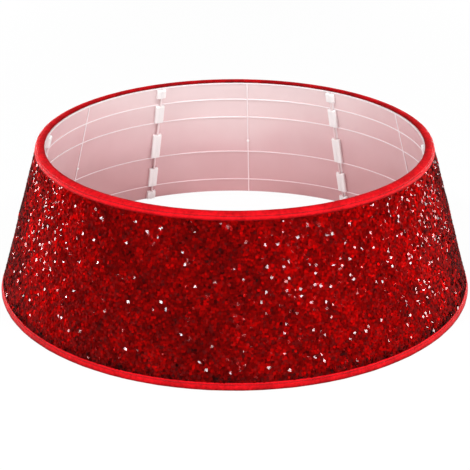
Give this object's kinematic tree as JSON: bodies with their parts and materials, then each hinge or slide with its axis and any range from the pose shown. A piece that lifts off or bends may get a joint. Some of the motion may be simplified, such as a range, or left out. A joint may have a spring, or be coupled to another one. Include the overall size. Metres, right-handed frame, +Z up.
{
  "type": "christmas tree collar",
  "caption": "Tapered tree collar ring that hides a Christmas tree stand: snap-together plastic panels under a bound red sequin sleeve.",
  "frame": {"origin": "centre of the ring, on the surface that it stands on", "axes": "+Z up along the ring's axis; -Y points from the ring to the picture's camera, +X to the picture's right"},
  "size_m": [0.7612, 0.7612, 0.238],
  "materials": {
    "panel_plastic": "translucent white polypropylene, satin, tinted pink by the cloth behind it",
    "sequin_cloth": "red knit covered with small overlapping mirror sequins",
    "binding_tape": "bright red woven tape, satin, topstitched",
    "elastic": "white woven elastic"
  },
  "bodies": {
    "ring": {"back_panel": "panel_plastic", "back_left_panel": "panel_plastic", "front_left_panel": "panel_plastic", "front_panel": "panel_plastic", "front_right_panel": "panel_plastic", "back_right_panel": "panel_plastic"},
    "sleeve": {"sequin_sleeve": "sequin_cloth", "top_binding": "binding_tape", "top_elastic": "elastic", "bottom_binding": "binding_tape", "bottom_elastic": "elastic"}
  },
  "joints": [
    {"name": "sleeve_lift", "type": "slide", "parent": "ring", "child": "sleeve", "axis": [0, 0, 1], "range_m": [0, 0.26]}
  ]
}
